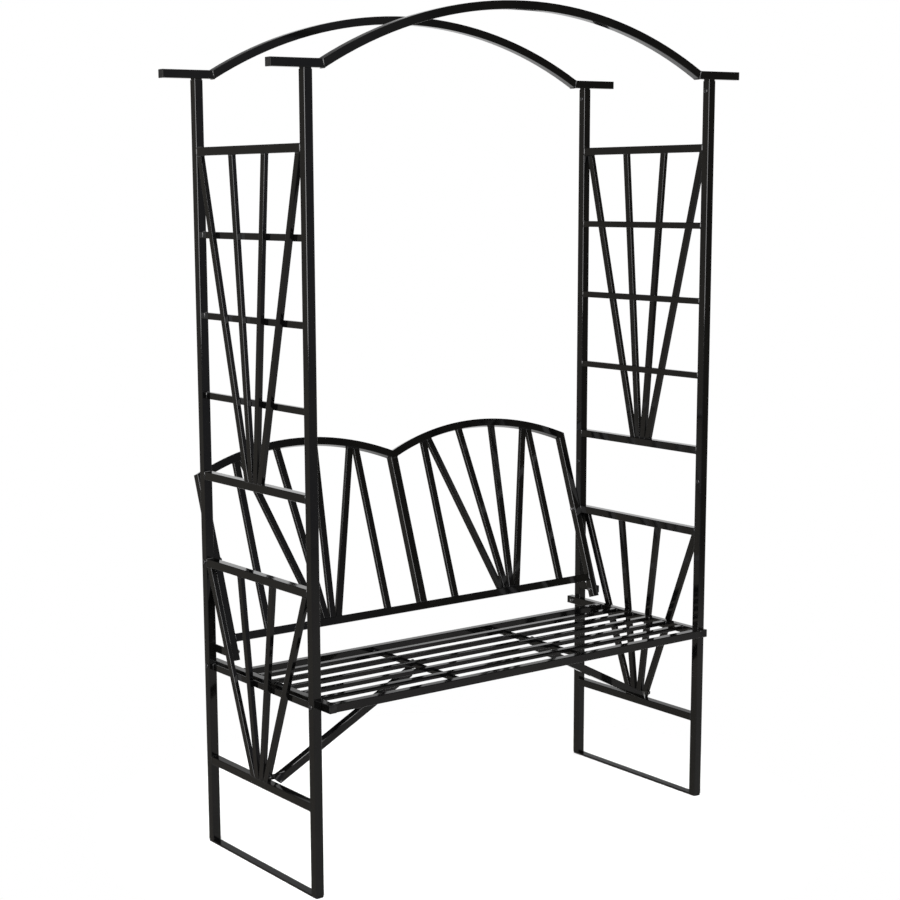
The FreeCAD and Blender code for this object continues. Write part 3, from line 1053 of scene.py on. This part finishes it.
    def nuts(self, node: str) -> bpy.types.Object:
        """Replaces the node of plain nuts with detailed ones.

        Args:
            node: The CAD node's name.

        Returns:
            The new piece.
        """
        nuts = bmesh.new()
        for number, seat in enumerate(self.seats(node)):
            turn = Matrix.Rotation(self.nut_turn * number, 4, "Z")
            add_copy(nuts, self.nut(seat), seat.matrix() @ turn)
        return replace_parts(new_piece(f"{node}_threaded", nuts, Slot.NUT, self.finishes), node)


# Studio


@dataclass
class Viewpoint:
    """The camera, at the photograph's viewing angle."""

    place: tuple[float, float, float] = (-2.86190, -3.66127, 1.63150)
    yaw: float = math.radians(34.67)
    pitch: float = math.radians(-9.70)
    roll: float = math.radians(-0.67)
    focal_pixels: float = 1850.70
    centre_pixels: tuple[float, float] = (348.50, 499.59)
    image_pixels: float = 900.0
    sensor: float = 36.0
    farthest: float = 50.0

    def build(self) -> bpy.types.Object:
        """Makes the camera and hands it to the scene."""
        ahead = Vector((
            math.sin(self.yaw) * math.cos(self.pitch),
            math.cos(self.yaw) * math.cos(self.pitch),
            math.sin(self.pitch),
        ))
        level = Vector((math.cos(self.yaw), -math.sin(self.yaw), 0.0))
        upright = level.cross(ahead)
        right = math.cos(self.roll) * level + math.sin(self.roll) * upright
        up = -math.sin(self.roll) * level + math.cos(self.roll) * upright
        data = bpy.data.cameras.new("camera")
        data.sensor_width = self.sensor
        data.lens = self.focal_pixels / self.image_pixels * self.sensor
        data.shift_x = 0.5 - self.centre_pixels[0] / self.image_pixels
        data.shift_y = self.centre_pixels[1] / self.image_pixels - 0.5
        data.clip_end = self.farthest
        camera = bpy.data.objects.new("camera", data)
        turn = Matrix((right, up, -ahead)).transposed()
        camera.matrix_world = Matrix.Translation(self.place) @ turn.to_4x4()
        bpy.context.scene.collection.objects.link(camera)
        bpy.context.scene.camera = camera
        return camera


@dataclass(frozen=True)
class SoftBox:
    """A rectangular lamp that looks at a point of the seat."""

    name: str
    place: tuple[float, float, float]
    aim: tuple[float, float, float]
    wide: float
    high: float
    watts: float

    def build(self) -> bpy.types.Object:
        """Makes the lamp."""
        data = bpy.data.lights.new(self.name, "AREA")
        data.shape = "RECTANGLE"
        data.size = self.wide
        data.size_y = self.high
        data.energy = self.watts
        lamp = bpy.data.objects.new(self.name, data)
        look = Vector(self.aim) - Vector(self.place)
        turn = look.to_track_quat("-Z", "Y").to_matrix().to_4x4()
        lamp.matrix_world = Matrix.Translation(self.place) @ turn
        bpy.context.scene.collection.objects.link(lamp)
        return lamp


@dataclass(frozen=True)
class Studio:
    """A white room: white behind the seat, dim in front of it, and a pale floor.

    A range says where one wall of the room gives way to the next in reflections: how far a
    direction goes ahead, as the camera looks, or how far it rises.
    """

    ambient: Colour = (0.95, 0.95, 0.95)
    ahead: Colour = (0.57, 0.82, 0.0)
    front: Colour = (0.21, 0.21, 0.23)
    gap: Colour = (0.1, 0.094, 0.082)
    gap_ahead: Range = (-0.36, -0.28)
    ground: Colour = (0.38, 0.37, 0.36)
    ground_rise: Range = (-0.24, -0.19)
    side: Colour = (0.3, 0.283, 0.255)
    side_ahead: Range = (-0.1, 0.1)
    beside: Colour = (0.235, 0.222, 0.2)
    beside_ahead: Range = (0.2, 0.38)
    backdrop_ahead: Range = (0.4, 0.9)
    overhead: Colour = (0.3, 0.3, 0.3)
    overhead_rise: Range = (0.2, 0.32)
    ceiling: Colour = (0.02, 0.02, 0.02)
    ceiling_rise: Range = (0.33, 0.56)
    floor_reach: float = 1.6
    floor_fade: Range = (0.72, 0.95)
    floor_colour: Colour = (0.97, 0.97, 0.97)
    floor_roughness: float = 0.85
    floor_shine: float = 0.2
    boxes: tuple[SoftBox, ...] = (
        SoftBox("left_strip", (-3.6, -2.7, 2.0), (0.0, 0.0, 1.4), 5.2, 2.2, 300.0),
        SoftBox("front_top_box", (-1.3, -1.95, 3.7), (-0.35, -0.1, 0.3), 1.5, 1.5, 60.0),
        SoftBox("top_box", (0.4, -0.4, 4.2), (0.0, 0.0, 0.8), 2.4, 2.0, 30.0),
    )

    def mirrored(self, tree: Tree) -> bpy.types.NodeSocket:
        """Shades the room by direction, as reflections show it.

        Args:
            tree: The world's tree.

        Returns:
            The colour's socket.
        """
        heading = tree.node("ShaderNodeTexCoord").outputs["Generated"]
        ahead = tree.along(heading, self.ahead)
        rise = tree.along(heading, UP)
        near = tree.blend(ahead.step(*self.gap_ahead), self.front, self.gap)
        near = tree.blend(rise.step(*self.ground_rise), self.ground, near)
        sides = tree.blend(ahead.step(*self.beside_ahead), self.side, self.beside)
        room = tree.blend(ahead.step(*self.side_ahead), near, sides)
        backdrop = tree.blend(rise.step(*self.overhead_rise), WHITE, self.overhead)
        room = tree.blend(ahead.step(*self.backdrop_ahead), room, backdrop)
        return tree.blend(rise.step(*self.ceiling_rise), room, self.ceiling)

    def world(self) -> None:
        """Builds the world: white to the camera, shaded by direction in reflections."""
        world = bpy.data.worlds.new("studio")
        world.use_nodes = True
        bpy.context.scene.world = world
        tree = Tree(world.node_tree)
        path = tree.node("ShaderNodeLightPath")
        through = tree.value(path, "Is Transmission Ray")
        seen = tree.value(path, "Is Camera Ray").maths("MAXIMUM", through)
        glossy = tree.value(path, "Is Glossy Ray")
        plain = tree.blend(glossy, self.ambient, self.mirrored(tree))
        colour = tree.blend(seen, plain, WHITE)
        light = tree.node("ShaderNodeBackground", None, {"Color": colour, "Strength": 1.0})
        tree.node("ShaderNodeOutputWorld", None, {"Surface": light.outputs[0]})

    def floor(self) -> bpy.types.Object:
        """Lays a pale floor that fades into the white backdrop.

        Returns:
            The floor, which isn't part of the seat.
        """
        shape = bmesh.new()
        bmesh.ops.create_grid(shape, x_segments=2, y_segments=2, size=self.floor_reach)
        mesh = bpy.data.meshes.new("floor")
        shape.to_mesh(mesh)
        shape.free()
        floor = bpy.data.objects.new("floor", mesh)
        bpy.context.scene.collection.objects.link(floor)
        material, tree = new_material("floor")
        length = tree.node("ShaderNodeVectorMath", {"operation": "LENGTH"}, {0: tree.place()})
        away = tree.value(length, "Value")
        paper = tree.node("ShaderNodeBsdfPrincipled", None, {
            "Base Color": (*self.floor_colour, 1.0),
            "Roughness": self.floor_roughness,
            "Specular IOR Level": self.floor_shine,
        })
        clear = tree.node("ShaderNodeBsdfTransparent")
        glossy = tree.value(tree.node("ShaderNodeLightPath"), "Is Glossy Ray")
        faded = away.step(*self.floor_fade).maths("MAXIMUM", glossy)
        mixed = tree.node(
            "ShaderNodeMixShader", None, {0: faded, 1: paper.outputs[0], 2: clear.outputs[0]},
        )
        tree.node("ShaderNodeOutputMaterial", None, {"Surface": mixed.outputs[0]})
        mesh.materials.append(material)
        return floor

    def build(self) -> None:
        """Builds the world, the floor and the lamps."""
        bpy.context.scene.view_settings.view_transform = "Standard"
        self.world()
        self.floor()
        for box in self.boxes:
            box.build()


# The seat's nodes

BOTH = ("left", "right")
POSTS = [
    f"{side}_{level}_{row}_post"
    for side in BOTH for level in ("lower", "upper") for row in ("front", "rear")
]
FRAME_BARS = [
    f"{side}_{bar}" for side in BOTH for bar in (
        "low_bar", "seat_level_rung", "arm_bar", "sill_bar", "side_rungs", "top_bar",
        "lower_fan_bars", "upper_fan_bars",
    )
]
ARCH_TUBES = ["front_arch_bow", "rear_arch_bow", "front_arch_ears", "rear_arch_ears"]
SEAT_RAILS = ["left_seat_side_rail", "right_seat_side_rail"]
SEAT_BARS = ["seat_front_rail", "seat_rear_rail", "seat_slats", "seat_cross_bars"]
BACK_STILES = ["left_back_stile", "right_back_stile"]
BACK_HUMPS = ["left_back_hump", "right_back_hump"]
BACK_BARS = [
    "left_back_fan_bars", "right_back_fan_bars", "back_centre_post", "back_bottom_rail",
    "back_uprights",
]
TUBES = FRAME_BARS + ARCH_TUBES + SEAT_RAILS + SEAT_BARS + BACK_STILES + BACK_HUMPS + BACK_BARS
PLATES = {
    "left_foot_strip": 0.8 * MM, "right_foot_strip": 0.8 * MM,
    "back_brackets": 0.5 * MM, "left_brace": 0.35 * MM, "right_brace": 0.35 * MM,
}
CAPS = ["ear_caps", "seat_rail_caps", "back_stile_caps"]
SCREWS = ["post_screws", "seat_bolts", "back_bolts", "brace_bolts"]
HIDDEN = ["ear_spigots", "post_sleeves"]
WELDED = {
    "left_frame_welds": [node for node in FRAME_BARS if node.startswith("left")],
    "right_frame_welds": [node for node in FRAME_BARS if node.startswith("right")],
    "arch_welds": ["front_arch_ears", "rear_arch_ears"],
    "seat_welds": SEAT_BARS,
    "back_welds": BACK_BARS,
}
WELD_REACH = {"arch_welds": 0.6}


def main() -> None:
    """Builds every piece and logs it."""
    logging.basicConfig(level=logging.INFO, format="%(message)s")
    finishes = Finishes()
    for node in HIDDEN:
        finishes.dress(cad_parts[node], Slot.POWDER)
        LOG.info("inner tubes %s", node)
    steel = CoatedSteel(finishes)
    for node in POSTS:
        LOG.info("post %s", steel.plate(node, steel.corner_width).name)
    for node in TUBES:
        LOG.info("tube %s", steel.tube(node).name)
    for node, width in PLATES.items():
        LOG.info("plate %s", steel.plate(node, width).name)
    welds = Welds(finishes)
    for name, nodes in WELDED.items():
        reach = WELD_REACH.get(name, math.inf)
        LOG.info("welds %s", welds.along_ends(name, nodes, reach).name)
    caps = Caps(finishes)
    for node in CAPS:
        LOG.info("caps %s", caps.fit(node).name)
    fasteners = Fasteners(finishes)
    for node in SCREWS:
        LOG.info("screws %s", fasteners.screws(node).name)
    LOG.info("nuts %s", fasteners.nuts("hex_nuts").name)
    Viewpoint().build()
    Studio().build()


if __name__ == "__main__":
    main()
